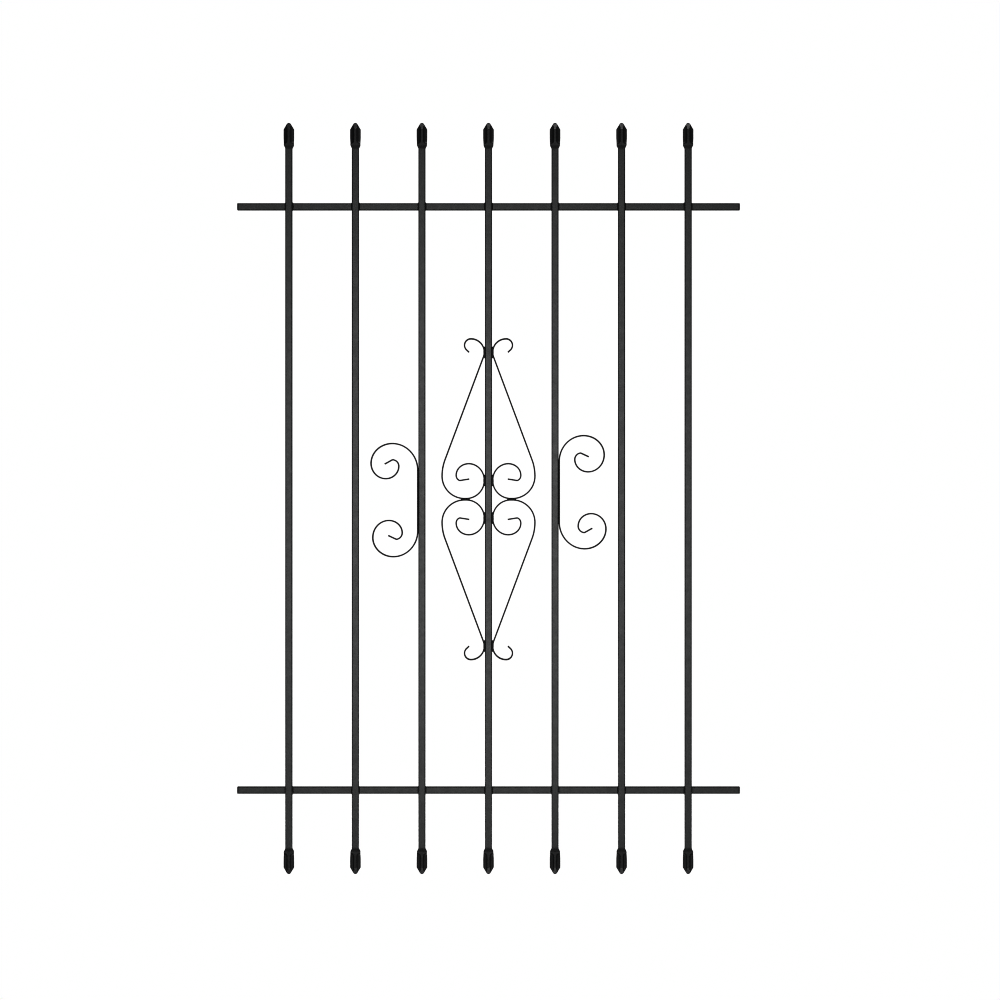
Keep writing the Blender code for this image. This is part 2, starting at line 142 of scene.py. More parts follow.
FINIAL_TIP = ((0, 0), (0.0003, 0.0012), (0.0009, 0.0024), (0.0020, 0.0034))  # (depth, half side)
FINIAL_EASE = 0.0004
FINIAL_ARRIS_EASE = 0.0006
FLUTE_END = 0.0395
PARTING_RIDGE = 0.00014
PARTING_WIDTH = 0.0004
CAST_UNEVENNESS = 0.00010
CAST_NOISES = ((260, 0.6), (700, 0.4))  # (features per metre, share)
CAST_NOISE_PEAK = 0.7  # taken off, so that the unevenness only dips
CAST_FADE = 0.0040  # the length at the foot over which it becomes even

PLUG_EASE = 0.0009
PLUG_CROWN = 0.00009
PLUG_FACE_INSET = 0.00198
PLUG_ROUNDNESS = 1 / 3  # the most that a corner's radius is, as a share of the half side
# (place across a rib, half side), over its slopes and its flat crest.
PLUG_RIB_PROFILE = (
    (1, PLUG_SHANK_HALF),
    (0.6, PLUG_RIB_HALF),
    (-0.6, PLUG_RIB_HALF),
    (-1, PLUG_SHANK_HALF),
)

CROSSING_WELD_RADIUS = 0.0017
CROSSING_WELD_CORNER = 0.0012
# Each seam weld's length, half width and half depth.
LYRE_WELD = (0.0215, 0.0020, 0.0019)
MEETING_WELD = (0.0165, 0.0019, 0.0018)
C_WELD = (0.0300, 0.0016, 0.0019)
LYRE_WELD_OUT = 0.0010  # from the picket's side to the weld's middle
WELD_SUNK = 0.0008  # from a bar's surface in to the weld's middle
WELD_END = 0.02  # the square of the share of its size that a seam weld keeps at its ends
WELD_FULLNESS = 2.6
# A bead's size along it, as shares of its radius: its least, its waves and its slow drift.
RIPPLE_LENGTH = 0.0013
RIPPLE_LOW = 0.93
RIPPLE_HEIGHT = 0.12
RIPPLE_DRIFT = 0.10
RIPPLE_DRIFT_SCALE = 190
RIPPLE_DRIFT_PLANE = 0.5
FIRST_SEAM_SEED = 101

# How finely the meshes are cut, and the edges that shading keeps crisp.
TUBE_CORNER_STEPS = 8
PLUG_CORNER_STEPS = 6
PLUG_EDGE_STEPS = 4
STRIP_CORNER_STEPS = 4
STRIP_STEP = math.radians(3)
STRIP_RUN = 0.0060
WELD_CORNER_STEPS = 4
WELD_STEP = 0.0003
WELD_SIDES = 12
FLUTE_STEPS = 12
FACE_SHARES = (0, 0.45, 0.8, 0.94)  # along half a finial's face
EASE_SHARES = (-1, -0.75, -0.5, -0.25, 0, 0.25, 0.5, 0.75, 1)
# (depth, number of rings from there to the next row's), closer together where the shape turns.
FINIAL_RINGS = (
    (0.0001, 5),
    (0.0012, 12),
    (0.0115, 6),
    (0.0130, 7),
    (FINIAL_TAPER_START, 4),
    (FLUTE_STRAIGHT_END, 13),
    (FLUTE_END, 3),
    (0.0408, 5),
    (0.0422, 4),
    (0.0459, 5),
    (0.0473, 2),
)
CRISP_EDGE = math.radians(38)
CRISP_CAST_EDGE = math.radians(50)
CRISP_WELD_EDGE = math.radians(60)

# The coats' unevenness, in features per metre, and the span of a noise texture's values.
TONE_SCALE = 14.0
GLOSS_SCALE = 85.0
NOISE_SPAN = (0.3, 0.7)

# The stage. A light is its place from what it aims at, its size and its power in watts.
WORLD_GLOW = 0.30
WORLD_TINT = (0.96, 0.98, 1, 1)
FLOOR_RADIUS = 2.3
# Painted shade under the guard: the floor glows at the lesser strength out to this radius, and
# brightens to full at its rim.
FLOOR_PAINTED_SHADE_RADIUS = 0.3
FLOOR_PAINTED_SHADE_GLOW = 0.90
FLOOR_SEGMENTS = 96
SILL_HEIGHT = 0.90
KEY_LIGHT = ((-0.05, -2.7, -0.05), (1.4, 1.5), 50)
ABOVE_LIGHT = ((0.15, -0.65, 1.1), (0.9, 0.4), 26)
BELOW_LIGHT = ((0, -0.55, -0.9), (0.9, 0.4), 14)
FRONT_LIGHT = ((2.5, -1.15, -1.2), (0.9, 0.9), 24)
REAR_LIGHT = ((1.7, 2.2, -1.2), (0.9, 0.9), 32)
CASTING_AIM_X = 0.1
CAMERA_DISTANCE = 7.0
CAMERA_LENS = 138.0
CAMERA_RIGHT = 0.0210
CAMERA_DOWN = 0.0028
VIEW_GAMMA = 0.60
EDGE_SOFTNESS = 1.0

# Directions.
SIDES = (("left", -1), ("right", 1))
RIGHT = Vector((1, 0, 0))
INTO_WALL = Vector((0, 1, 0))
UP = Vector((0, 0, 1))

# Places read from the frame.
picket_low, picket_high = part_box("picket_4")
upper_rail_low, upper_rail_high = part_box("top_rail")
lower_rail_low, lower_rail_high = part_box("bottom_rail")
strip_low, strip_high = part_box("c_scroll_left")
TUBE_HALF = (picket_high.x - picket_low.x) / 2
BORE_HALF = TUBE_HALF - TUBE_WALL
PICKET_Y = (picket_low.y + picket_high.y) / 2
RAIL_Y = (upper_rail_low.y + upper_rail_high.y) / 2
CONTACT_Y = (picket_high.y + upper_rail_low.y) / 2
MIDDLE_Z = (picket_low.z + picket_high.z) / 2
LEVEL_Z = {
    "top": (upper_rail_low.z + upper_rail_high.z) / 2,
    "bottom": (lower_rail_low.z + lower_rail_high.z) / 2,
}
PICKETS = sorted(int(name.split("_")[1]) for name in frame["nodes"] if name.startswith("picket_"))
PICKET_X = {index: sum(corner.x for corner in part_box(f"picket_{index}")) / 2 for index in PICKETS}
LYRE_Z = MIDDLE_Z + LYRE_RISE
STRIP_WIDTH = strip_high.y - strip_low.y
STRIP_TOUCH_X = TUBE_HALF + HAIRLINE + STRIP_THICKNESS / 2
LYRE_START_Z = STRIP_THICKNESS / 2 + HAIRLINE
LYRE_VOLUTE_RADIUS = LYRE_MEETING_X - LYRE_FLAT / 2 - STRIP_TOUCH_X


# Meshes


def add_piece(name, points, faces, material, node, slot, crisp=CRISP_EDGE):
    """A closed mesh piece that rides on the guard and stands for a CAD node. Its slot is not used."""
    shape = bmesh.new()
    verts = [shape.verts.new(point) for point in points]
    for face in faces:
        shape.faces.new([verts[index] for index in face])
    bmesh.ops.recalc_face_normals(shape, faces=shape.faces)
    mesh = bpy.data.meshes.new(name)
    shape.to_mesh(mesh)
    shape.free()
    mesh.materials.append(material)
    mesh.shade_smooth()
    mesh.set_sharp_from_angle(angle=crisp)
    piece = bpy.data.objects.new(name, mesh)
    bpy.context.scene.collection.objects.link(piece)
    weighted = piece.modifiers.new("flat faces stay flat", "WEIGHTED_NORMAL")
    weighted.keep_sharp = True
    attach(piece, "root")
    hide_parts(node)


def skin(rings, looped=False):
    """(points, faces) over rings of equal length. Loose end rings are capped."""
    count = len(rings[0])
    points = [tuple(point) for ring in rings for point in ring]
    faces = []
    last = len(rings) if looped else len(rings) - 1
    for row in range(last):
        here, there = row * count, (row + 1) % len(rings) * count
        for i in range(count):
            j = (i + 1) % count
            faces.append((here + i, here + j, there + j, there + i))
    if not looped:
        faces.append(tuple(range(count)))
        faces.append(tuple(range(len(points) - count, len(points))))
    return points, faces


def rounded_rectangle(half_x, half_y, radius, steps):
    """The outline of a rectangle with rounded corners, anticlockwise from +X."""
    outline = []
    for quarter, (side_x, side_y) in enumerate(((1, 1), (-1, 1), (-1, -1), (1, -1))):
        for step in range(steps + 1):
            angle = (quarter + step / steps) * math.pi / 2
            x = side_x * (half_x - radius) + radius * math.cos(angle)
            y = side_y * (half_y - radius) + radius * math.sin(angle)
            outline.append((x, y))
    return outline


# Tubes and their plugs


def tube_rings(start, end):
    """Rings of (across, across, along) points round a hollow square tube's wall, end to end."""
    ease = TUBE_END_EASE

    def ring(half, radius, along):
        return [(u, v, along) for u, v in rounded_rectangle(half, half, radius, TUBE_CORNER_STEPS)]

    bore_corner = TUBE_CORNER - TUBE_WALL
    return [
        ring(TUBE_HALF - ease, TUBE_CORNER - ease, start),
        ring(TUBE_HALF, TUBE_CORNER, start + ease),
        ring(TUBE_HALF, TUBE_CORNER, end - ease),
        ring(TUBE_HALF - ease, TUBE_CORNER - ease, end),
        ring(BORE_HALF + ease, bore_corner + ease, end),
        ring(BORE_HALF, bore_corner, end - ease),
        ring(BORE_HALF, bore_corner, start + ease),
        ring(BORE_HALF + ease, bore_corner + ease, start),
    ]


def add_tubes(material):
    for index, x in PICKET_X.items():
        node = f"picket_{index}"
        low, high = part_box(node)
        rings = [[(x + u, PICKET_Y + v, z) for u, v, z in ring] for ring in tube_rings(low.z, high.z)]
        add_piece(f"{node}_tube", *skin(rings, looped=True), material, node, "picket_paint")
    for level, z in LEVEL_Z.items():
        node = f"{level}_rail"
        low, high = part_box(node)
        rings = [[(x, RAIL_Y + v, z + u) for u, v, x in ring] for ring in tube_rings(low.x, high.x)]
        add_piece(f"{node}_tube", *skin(rings, looped=True), material, node, "rail_paint")


def plug_stations(face_x, tube_end, inner_x, sign):
    """(x, half side) along a plug: its crowned face, flange, ribbed shank and pocket."""
    stations = [(face_x, TUBE_HALF - PLUG_FACE_INSET)]
    for step in range(PLUG_EDGE_STEPS + 1):
        angle = step / PLUG_EDGE_STEPS * math.pi / 2
        back = PLUG_CROWN + PLUG_EASE * (1 - math.cos(angle))
        stations.append((face_x - sign * back, TUBE_HALF - PLUG_EASE * (1 - math.sin(angle))))
    flange_x = tube_end + sign * HAIRLINE
    stations += [(flange_x, TUBE_HALF), (flange_x, PLUG_SHANK_HALF)]
    for rib in range(1, PLUG_RIBS + 1):
        rib_x = tube_end - sign * rib * PLUG_RIB_STEP
        for edge, half in PLUG_RIB_PROFILE:
            stations.append((rib_x + sign * edge * PLUG_RIB / 2, half))
    floor_x = tube_end - sign * PLUG_FLOOR
    stations += [(inner_x, PLUG_SHANK_HALF), (inner_x, PLUG_POCKET_HALF), (floor_x, PLUG_POCKET_HALF)]
    return stations


def add_plugs(material):
    for level, z in LEVEL_Z.items():
        for side, sign in SIDES:
            node = f"rail_plug_{level}_{side}"
            outer, inner = (1, 0) if sign > 0 else (0, 1)
            face_x, inner_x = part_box(node)[outer].x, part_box(node)[inner].x
            tube_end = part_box(f"{level}_rail")[outer].x
            rings = []
            for x, half in plug_stations(face_x, tube_end, inner_x, sign):
                radius = min(TUBE_CORNER, half * PLUG_ROUNDNESS)
                outline = rounded_rectangle(half, half, radius, PLUG_CORNER_STEPS)
                rings.append([(x, RAIL_Y + v, z + u) for u, v in outline])
            add_piece(f"{node}_cap", *skin(rings), material, node, "plug_plastic")


# Finials


def profile_half(depth):
    """Half the finial's side at a depth below its blunt tip, before its edges are eased."""
    outline = (
        *FINIAL_TIP,
        (FINIAL_SHOULDER, FINIAL_HALF),
        (FINIAL_TAPER_START, FINIAL_HALF),
        (FINIAL_NECK_START, FINIAL_NECK_START_HALF),
        (FINIAL_NECK_END, TUBE_HALF),
        (FINIAL_LENGTH, TUBE_HALF),
    )
    depths, halves = zip(*outline)
    return float(np.interp(depth, depths, halves))


def eased_half(depth):
    """The profile averaged over a short stretch, which rounds its corners."""
    reach = min(FINIAL_EASE, depth)
    return sum(profile_half(depth + reach * share) for share in EASE_SHARES) / len(EASE_SHARES)


def flute_radius(depth):
    """The flute's radius: constant, then closing like the end of a ball cutter."""
    if depth < FLUTE_STRAIGHT_END:
        return FLUTE_RADIUS
    share = (depth - FLUTE_STRAIGHT_END) / (FLUTE_END - FLUTE_STRAIGHT_END)
    return FLUTE_RADIUS * math.sqrt(max(0, 1 - share * share))


def quarter_section(half, radius):
    """One corner's points of a fluted square section, from the middle of +X's face to +Y's.

    The flute is a circle about the full square's corner. Where the section is too small or
    the flute too shallow to be cut, the corner is just rounded."""
    reach = FINIAL_HALF - half
    edge = half
    if radius > reach:
        edge = min(half, FINIAL_HALF - math.sqrt(radius * radius - reach * reach))
    ease = min(FINIAL_ARRIS_EASE, half / 2)
    cut = min(1, max(0, (half - edge) / (2 * ease)))
    cut = cut * cut * (3 - 2 * cut)
    face_end = (1 - cut) * (half - ease) + cut * edge
    points = [(half, face_end * share) for share in FACE_SHARES]
    start_angle = math.atan2(edge - FINIAL_HALF, half - FINIAL_HALF) if cut else 0
    end_angle = -math.pi - math.pi / 2 - start_angle if cut else 0
    for step in range(FLUTE_STEPS + 1):
        share = step / FLUTE_STEPS
        angle = share * math.pi / 2
        round_x = half - ease + ease * math.cos(angle)
        round_y = half - ease + ease * math.sin(angle)
        turn = start_angle + share * (end_angle - start_angle)
        flute_x = FINIAL_HALF + radius * math.cos(turn)
        flute_y = FINIAL_HALF + radius * math.sin(turn)
        points.append(((1 - cut) * round_x + cut * flute_x, (1 - cut) * round_y + cut * flute_y))
    points += [(face_end * share, half) for share in reversed(FACE_SHARES[1:])]
    return points


def finial_section(half, radius):
    """The whole section's outline, with its arrises a little softened."""
    quarter = np.array(quarter_section(half, radius))
    ring = []
    for turn in range(4):
        angle = turn * math.pi / 2
        cosine, sine = math.cos(angle), math.sin(angle)
        ring.append(quarter @ np.array(((cosine, sine), (-sine, cosine))))
    ring = np.concatenate(ring)
    return (np.roll(ring, 1, 0) + 2 * ring + np.roll(ring, -1, 0)) / 4


def finial_depths():
    """Depths below the tip for the casting's rings."""
    depths = []
    ends = [depth for depth, _ in FINIAL_RINGS[1:]] + [FINIAL_LENGTH]
    for (start, count), end in zip(FINIAL_RINGS, ends):
        depths += [start + (end - start) * step / count for step in range(count)]
    return depths + [FINIAL_LENGTH]


def cast_relief(place, depth, v):
    """How far the cast surface stands out: it is uneven, with a ridge where the mould parted."""
    strength = min(1, depth / FINIAL_SHOULDER) * min(1, max(0, (FINIAL_LENGTH - depth) / CAST_FADE))
    uneven = sum(noise.noise(place * scale) * share for scale, share in CAST_NOISES)
    ridge = math.exp(-((v / PARTING_WIDTH) ** 2)) * PARTING_RIDGE
    return strength * ((uneven - CAST_NOISE_PEAK) * CAST_UNEVENNESS + ridge)


def add_finial(node, x, tip_z, up, material):
    """A cast spear. Up is 1 where it points up, -1 where it hangs."""
    rings = []
    for depth in finial_depths():
        ring = []
        for u, v in finial_section(eased_half(depth), flute_radius(depth)):
            place = Vector((x + u, PICKET_Y + v, tip_z - up * depth))
            outward = Vector((u, v, 0)).normalized()
            ring.append(place + outward * cast_relief(place, depth, v))
        rings.append(ring)
    low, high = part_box(node)
    foot, end = FINIAL_LENGTH + GAP - HAIRLINE, high.z - low.z
    for depth, half in (
        (foot, TUBE_HALF - TUBE_END_EASE),
        (foot, SPIGOT_HALF),
        (end - SPIGOT_CHAMFER, SPIGOT_HALF),
        (end, SPIGOT_HALF - SPIGOT_CHAMFER),
    ):
        section = finial_section(half, 0)
        rings.append([(x + u, PICKET_Y + v, tip_z - up * depth) for u, v in section])
    points, faces = skin(rings)
    # The tip is a fan of faces round one point.
    count = len(rings[0])
    faces.remove(tuple(range(count)))
    points.append((x, PICKET_Y, tip_z))
    faces += [(len(points) - 1, i, (i + 1) % count) for i in range(count)]
    add_piece(f"{node}_casting", points, faces, material, node, "finial_paint", CRISP_CAST_EDGE)


def add_finials(material):
    for index, x in PICKET_X.items():
        top, bottom = f"finial_top_{index}", f"finial_bottom_{index}"
        add_finial(top, x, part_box(top)[1].z, 1, material)
        add_finial(bottom, x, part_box(bottom)[0].z, -1, material)


# Scrolls


def straight(length):
    return (length, 0, 0, 0)


def bend(first_radius, last_radius, turn):
    """A bend whose radius changes evenly along it. A positive turn is to the left."""
    return (0, first_radius, last_radius, turn)


def bent_line(start, heading, runs):
    """A line bent run by run, as (x, z, heading) rows."""
    x, z = start
    line = [(x, z, heading)]
    for length, first, last, turn in runs:
        if length:
            steps = max(1, round(length / STRIP_RUN))
            for _ in range(steps):
                x += length / steps * math.cos(heading)
                z += length / steps * math.sin(heading)
                line.append((x, z, heading))
            continue
        steps = max(2, round(abs(turn) / STRIP_STEP))
        for step in range(steps):
            radius = first + (last - first) * (step + 0.5) / steps
            aim = heading + turn / steps / 2
            chord = 2 * radius * math.sin(abs(turn) / steps / 2)
            x += chord * math.cos(aim)
            z += chord * math.sin(aim)
            heading += turn / steps
            line.append((x, z, heading))
    return line


def joined_back_to_back(first, second):
    """Two lines that leave one point in opposite directions, made one."""
    turned = [(x, z, heading + math.pi) for x, z, heading in reversed(first)]
    return turned + second[1:]


def lyre_slant_length():
    widest = LYRE_MEETING_X + LYRE_FLAT / 2 + LYRE_BELLY_RADIUS
    bends = (LYRE_SHOULDER_RADIUS + LYRE_TIP_RADIUS) * (1 - math.cos(LYRE_SLANT))
    return (widest - STRIP_TOUCH_X - bends) / math.sin(LYRE_SLANT)


def lyre_line():
    """The upper right lyre scroll, from the guard's middle."""
    quarter = math.pi / 2
    start = (LYRE_MEETING_X, LYRE_START_Z)
    outwards = [
        straight(LYRE_FLAT / 2),
        bend(LYRE_BELLY_RADIUS, LYRE_BELLY_RADIUS, quarter),
        bend(LYRE_SHOULDER_RADIUS, LYRE_SHOULDER_RADIUS, LYRE_SLANT),
        straight(lyre_slant_length()),
        bend(LYRE_TIP_RADIUS, LYRE_TIP_RADIUS, -quarter - LYRE_SLANT),
        bend(LYRE_TIP_CURL_RADIUS, LYRE_TIP_CURL_RADIUS, -LYRE_TIP_CURL_TURN),
        straight(LYRE_TIP_HOOK),
    ]
    inwards = [
        straight(LYRE_FLAT / 2),
        bend(LYRE_VOLUTE_RADIUS, LYRE_VOLUTE_RADIUS, -quarter),
        bend(LYRE_VOLUTE_RADIUS, LYRE_VOLUTE_END_RADIUS, -LYRE_VOLUTE_TURN),
        bend(LYRE_EYE_RADIUS, LYRE_EYE_RADIUS, -LYRE_EYE_TURN),
        bend(NIP_RADIUS, NIP_RADIUS, -NIP_TURN),
        straight(LYRE_EYE_HOOK),
    ]
    return joined_back_to_back(bent_line(start, math.pi, inwards), bent_line(start, 0, outwards))


def c_spiral(way, end):
    """Half a C-scroll from the middle of its back. Way is 1 for a right turn, -1 for a left."""
    outer_radii, inner_radii, eye_turn = end
    runs = [
        straight(C_BACK_LENGTH / 2),
        bend(*outer_radii, -way * math.pi),
        bend(*inner_radii, -way * math.pi),
        bend(C_EYE_RADIUS, C_EYE_RADIUS, -way * eye_turn),
        bend(NIP_RADIUS, NIP_RADIUS, -way * NIP_TURN),
        straight(C_EYE_HOOK),
    ]
    return bent_line((0, 0), way * math.pi / 2, runs)


def c_line():
    return joined_back_to_back(c_spiral(-1, C_TALL_END), c_spiral(1, C_ROUND_END))


def strip_stations(line):
    """(x, z, heading, inset) rows along a flat bar, with its cut ends eased."""
    ease = STRIP_CORNER / 2
    stations = [(*row, 0.0) for row in line]
    # Each end's place in the list, the place next to it, and the way along the line to the other.
    for end, after, way in ((0, 1, 1), (-1, -1, -1)):
        x, z, heading = line[end]
        eased = (x + way * ease * math.cos(heading), z + way * ease * math.sin(heading))
        stations[end] = (x, z, heading, ease)
        stations.insert(after, (*eased, heading, 0.0))
    return stations


def strip_rings(line, centre_x, centre_z, flip_x, flip_z):
    """Rings of a flat bar on edge along a line."""
    half_thickness, half_width = STRIP_THICKNESS / 2, STRIP_WIDTH / 2
    section = rounded_rectangle(half_thickness, half_width, STRIP_CORNER, STRIP_CORNER_STEPS)
    rings = []
    for x, z, heading, inset in strip_stations(line):
        shrink_across = (half_thickness - inset) / half_thickness
        shrink_wide = (half_width - inset) / half_width
        ring = []
        for across, wide in section:
            offset = across * shrink_across
            place_x = flip_x * (x - offset * math.sin(heading))
            place_z = flip_z * (z + offset * math.cos(heading))
            ring.append((centre_x + place_x, PICKET_Y + wide * shrink_wide, centre_z + place_z))
        rings.append(ring)
    return rings


def add_strip(node, line, centre, flips, material):
    rings = strip_rings(line, *centre, *flips)
    add_piece(f"{node}_strip", *skin(rings), material, node, "scroll_paint")


def c_scroll_centres():
    middle = PICKETS[len(PICKETS) // 2]
    reach = PICKET_X[middle + 1] + STRIP_TOUCH_X
    return {"left": (-reach, MIDDLE_Z + C_LEFT_RISE), "right": (reach, MIDDLE_Z + C_RIGHT_RISE)}


def add_scrolls(material):
    line = lyre_line()
    for level, flip_z in (("upper", 1), ("lower", -1)):
        for side, flip_x in SIDES:
            add_strip(f"lyre_scroll_{level}_{side}", line, (0, LYRE_Z), (flip_x, flip_z), material)
    line = c_line()
    centres = c_scroll_centres()
    for side, sign in SIDES:
        add_strip(f"c_scroll_{side}", line, centres[side], (sign, sign), material)


# Welds


def ripple(run, seed):
    """The bead's radius at a distance along it, as a share: frozen waves, a little uneven."""
    wave = 2 * (run / RIPPLE_LENGTH % 1) - 1
    drift = noise.noise(Vector((run * RIPPLE_DRIFT_SCALE, seed, RIPPLE_DRIFT_PLANE)))
    return RIPPLE_LOW + RIPPLE_HEIGHT * (1 - wave * wave) + RIPPLE_DRIFT * drift


def bead_ring(centre, across, half_width, half_depth):
    """A bead's section. Across is the direction of its half width, and into the wall its depth."""
    ring = []
    for corner in range(WELD_SIDES):
        angle = corner / WELD_SIDES * 2 * math.pi
        wide, deep = half_width * math.cos(angle), half_depth * math.sin(angle)
        ring.append(centre + across * wide + INTO_WALL * deep)
    return ring


def crossing_path():
    """(x, z) rows round the square seam where a picket lies on a rail."""
    outline = rounded_rectangle(TUBE_HALF, TUBE_HALF, CROSSING_WELD_CORNER, WELD_CORNER_STEPS)
    path = []
    for (ax, az), (bx, bz) in zip(outline, outline[1:] + outline[:1]):
        steps = max(1, round(math.hypot(bx - ax, bz - az) / WELD_STEP))
        for step in range(steps):
            share = step / steps
            path.append((ax + (bx - ax) * share, az + (bz - az) * share))
    return path


def add_crossing_weld(node, x, z, material, seed):
    path = crossing_path()
    rings, run = [], 0
    for index, (u, w) in enumerate(path):
        before, after = path[index - 1], path[(index + 1) % len(path)]
        run += math.hypot(u - before[0], w - before[1])
        along = Vector((after[0] - before[0], 0, after[1] - before[1])).normalized()
        radius = CROSSING_WELD_RADIUS * ripple(run, seed)
        centre = Vector((x + u, CONTACT_Y, z + w))
        rings.append(bead_ring(centre, along.cross(INTO_WALL), radius, radius))
    points, faces = skin(rings, looped=True)
    add_piece(f"{node}_bead", points, faces, material, node, "weld_paint", CRISP_WELD_EDGE)


def add_seam_weld(node, centre, along, sizes, material, seed):
    """A rippled lens of weld. Sizes are its length, half width and half depth."""
    length, half_width, half_depth = sizes
    count = round(length / WELD_STEP)
    across = along.cross(INTO_WALL)
    rings = []
    for index in range(count + 1):
        share = 2 * index / count - 1
        taper = math.sqrt(max(WELD_END, 1 - abs(share) ** WELD_FULLNESS))
        size = taper * ripple(index / count * length, seed)
        middle = centre + along * share * length / 2
        rings.append(bead_ring(middle, across, half_width * size, half_depth * size))
    points, faces = skin(rings)
    add_piece(f"{node}_bead", points, faces, material, node, "weld_paint", CRISP_WELD_EDGE)


def middle_z(node):
    low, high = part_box(node)
    return (low.z + high.z) / 2


def add_welds(material):
    for index, x in PICKET_X.items():
        for seed, (level, z) in enumerate(LEVEL_Z.items()):
            add_crossing_weld(f"crossing_weld_{level}_{index}", x, z, material, 10 * index + seed)
    front_y = PICKET_Y - STRIP_WIDTH / 2 + WELD_SUNK
    back_y = PICKET_Y + STRIP_WIDTH / 2 - WELD_SUNK
    welds = []
    for side, sign in SIDES:
        for level in ("upper", "lower"):
            for end in ("tip", "volute"):
                node = f"lyre_{end}_weld_{level}_{side}"
                spot = (sign * (TUBE_HALF + LYRE_WELD_OUT), front_y, middle_z(node))
                welds.append((node, spot, UP, LYRE_WELD))
        spot = (sign * LYRE_MEETING_X, front_y, LYRE_Z)
        welds.append((f"lyre_meeting_weld_{side}", spot, RIGHT, MEETING_WELD))
        node = f"c_scroll_weld_{side}"
        spot = (c_scroll_centres()[side][0] - sign * WELD_SUNK, back_y, middle_z(node))
        welds.append((node, spot, UP, C_WELD))
    for seed, (node, spot, along, sizes) in enumerate(welds, FIRST_SEAM_SEED):
        add_seam_weld(node, Vector(spot), along, sizes, material, seed)


# Materials


def add_node(tree, kind, **settings):
    node = tree.nodes.new(kind)
    for name, value in settings.items():
        if name in node.inputs:
            node.inputs[name].default_value = value
        else:
            setattr(node, name, value)
    return node


def coat(name, colour, tone, shine, roughness, peel, lumps):
    """A paint or plastic skin: an uneven tone, an uneven gloss, and two sizes of relief.

    Tone is the share by which its colour varies, shine its specular level, and roughness its
    lowest and highest value. Peel and lumps are the fine and the coarse relief, as features per
    metre and a depth in metres."""
    material = bpy.data.materials.new(name)
    material.use_nodes = True
    tree = material.node_tree
    link = tree.links.new
    shader = tree.nodes["Principled BSDF"]
    shader.inputs["Specular IOR Level"].default_value = shine
    place = add_node(tree, "ShaderNodeTexCoord").outputs["Object"]

    def noise_texture(**settings):
        texture = add_node(tree, "ShaderNodeTexNoise", **settings)
        link(place, texture.inputs["Vector"])
        return texture.outputs["Fac"]

    ramp = add_node(tree, "ShaderNodeValToRGB")
    for end, position, share in zip(ramp.color_ramp.elements, NOISE_SPAN, (1 - tone, 1 + tone)):
        end.position = position
        end.color = (*(channel * share for channel in colour), 1)
    link(noise_texture(Scale=TONE_SCALE, Detail=4.0, Roughness=0.6), ramp.inputs["Fac"])
    link(ramp.outputs["Color"], shader.inputs["Base Color"])

    spread = add_node(tree, "ShaderNodeMapRange")
    spread.inputs["From Min"].default_value, spread.inputs["From Max"].default_value = NOISE_SPAN
    spread.inputs["To Min"].default_value, spread.inputs["To Max"].default_value = roughness
    link(noise_texture(Scale=GLOSS_SCALE, Detail=3.0), spread.inputs["Value"])
    link(spread.outputs["Result"], shader.inputs["Roughness"])

    lump_bump = add_node(tree, "ShaderNodeBump", Strength=1.0, Distance=lumps[1])
    peel_bump = add_node(tree, "ShaderNodeBump", Strength=1.0, Distance=peel[1])
    link(noise_texture(Scale=lumps[0], Detail=2.0), lump_bump.inputs["Height"])
    link(noise_texture(Scale=peel[0], Detail=1.0), peel_bump.inputs["Height"])
    link(lump_bump.outputs["Normal"], peel_bump.inputs["Normal"])
    link(peel_bump.outputs["Normal"], shader.inputs["Normal"])
    return material


# Stage


def white_world():
    """White to the eye. What it sheds on the guard is dim, as in a dark studio."""
    world = bpy.data.worlds.new("studio")
    bpy.context.scene.world = world
    world.use_nodes = True
    tree = world.node_tree
    tree.nodes.clear()
    seen = add_node(tree, "ShaderNodeBackground", Color=(1, 1, 1, 1), Strength=1.0)
    shed = add_node(tree, "ShaderNodeBackground", Color=WORLD_TINT, Strength=WORLD_GLOW)
    path = add_node(tree, "ShaderNodeLightPath")
    mix = add_node(tree, "ShaderNodeMixShader")
    out = add_node(tree, "ShaderNodeOutputWorld")
    tree.links.new(path.outputs["Is Camera Ray"], mix.inputs["Fac"])
    tree.links.new(shed.outputs["Background"], mix.inputs[1])
    tree.links.new(seen.outputs["Background"], mix.inputs[2])
    tree.links.new(mix.outputs["Shader"], out.inputs["Surface"])


def floor_glow_with_painted_shade():
    """A pale glowing skin with a painted shade under the guard: it is dimmest in its middle, and
    softly lost in the white round it.
    """
    material = bpy.data.materials.new("pale_floor_with_painted_shade")
    material.use_nodes = True
    tree = material.node_tree
    tree.nodes.clear()
    place = add_node(tree, "ShaderNodeTexCoord").outputs["Object"]
    reach = add_node(tree, "ShaderNodeVectorMath", operation="LENGTH")
    # Painted shade under the guard: the glow is dimmest in the middle and brightens to full at the
    # rim.
    painted_shade_fade = add_node(tree, "ShaderNodeMapRange", interpolation_type="SMOOTHSTEP")
    painted_shade_fade.inputs["From Min"].default_value = FLOOR_PAINTED_SHADE_RADIUS
    painted_shade_fade.inputs["From Max"].default_value = FLOOR_RADIUS
    painted_shade_fade.inputs["To Min"].default_value = FLOOR_PAINTED_SHADE_GLOW
    painted_shade_fade.inputs["To Max"].default_value = 1.0
    glow = add_node(tree, "ShaderNodeEmission")
    out = add_node(tree, "ShaderNodeOutputMaterial")
    tree.links.new(place, reach.inputs[0])
    tree.links.new(reach.outputs["Value"], painted_shade_fade.inputs["Value"])
    tree.links.new(painted_shade_fade.outputs["Result"], glow.inputs["Strength"])
    tree.links.new(glow.outputs["Emission"], out.inputs["Surface"])
    return material


